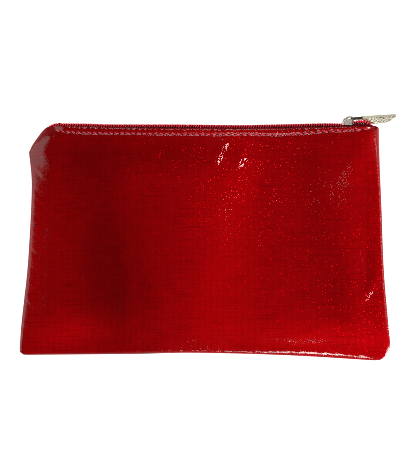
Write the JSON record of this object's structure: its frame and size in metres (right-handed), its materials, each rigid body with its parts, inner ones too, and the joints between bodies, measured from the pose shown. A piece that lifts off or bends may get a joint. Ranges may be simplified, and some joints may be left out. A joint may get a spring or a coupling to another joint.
{
  "type": "zip-top pouch",
  "caption": "Flat pouch of coated canvas with a nylon coil zip along its straight top edge, a metal slider and a faceted bar pull; the mouth opens as the slider runs.",
  "frame": {"origin": "under the middle of the bounding box, on the surface that the back panel lies on", "axes": "+X along the zip towards its closed end, +Y from the bottom seam towards the mouth, +Z out of the front panel"},
  "size_m": [0.1983, 0.1299, 0.0102],
  "materials": {
    "canvas": "glossy coated canvas",
    "lining": "plain matt lining",
    "thread": "polyester sewing thread",
    "tape": "woven zip tape",
    "coil": "nylon filament",
    "cord": "twisted cord",
    "coil_thread": "polyester sewing thread",
    "seam_thread": "polyester sewing thread",
    "tack": "close zigzag of sewing thread",
    "slider": "plated zinc casting",
    "bail": "plated pressed strip",
    "pull": "plated zinc casting, satin"
  },
  "bodies": {
    "back_wall": {"back_panel": "canvas", "back_lining": "lining", "back_topstitch": "thread", "back_zip_tape": "tape", "back_zip_coil": "coil", "back_coil_cord": "cord", "back_coil_thread": "coil_thread", "left_seam_thread": "seam_thread", "right_seam_thread": "seam_thread", "bottom_seam_thread": "seam_thread", "left_lining_thread": "seam_thread", "right_lining_thread": "seam_thread", "bottom_lining_thread": "seam_thread", "left_end_tack": "tack", "right_end_tack": "tack"},
    "front_wall": {"front_panel": "canvas", "front_lining": "lining", "front_topstitch": "thread", "front_zip_tape": "tape", "front_zip_coil": "coil", "front_coil_cord": "cord", "front_coil_thread": "coil_thread"},
    "slider": {"slider_body": "slider", "slider_bail": "bail"},
    "pull": {"pull_tab": "pull"}
  },
  "joints": [
    {"name": "slider_run", "type": "slide", "parent": "back_wall", "child": "slider", "axis": [-1, 0, 0], "range_m": [0, 0.14]},
    {"name": "mouth_open", "type": "hinge", "parent": "back_wall", "child": "front_wall", "pos_m": [0, -0.0652, 0.0051], "axis": [1, 0, 0], "range_deg": [0, 12], "deforming": ["front_lining", "front_topstitch", "front_zip_tape", "front_zip_coil", "front_coil_cord", "front_coil_thread"]},
    {"name": "pull_swing", "type": "hinge", "parent": "slider", "child": "pull", "pos_m": [0.0752, 0.06245, 0.0051], "axis": [0, 0, 1], "range_deg": [0, 155]}
  ],
  "couplings": [
    {"joint": "mouth_open", "follows": "slider_run", "rad_per_m": 1.49}
  ]
}
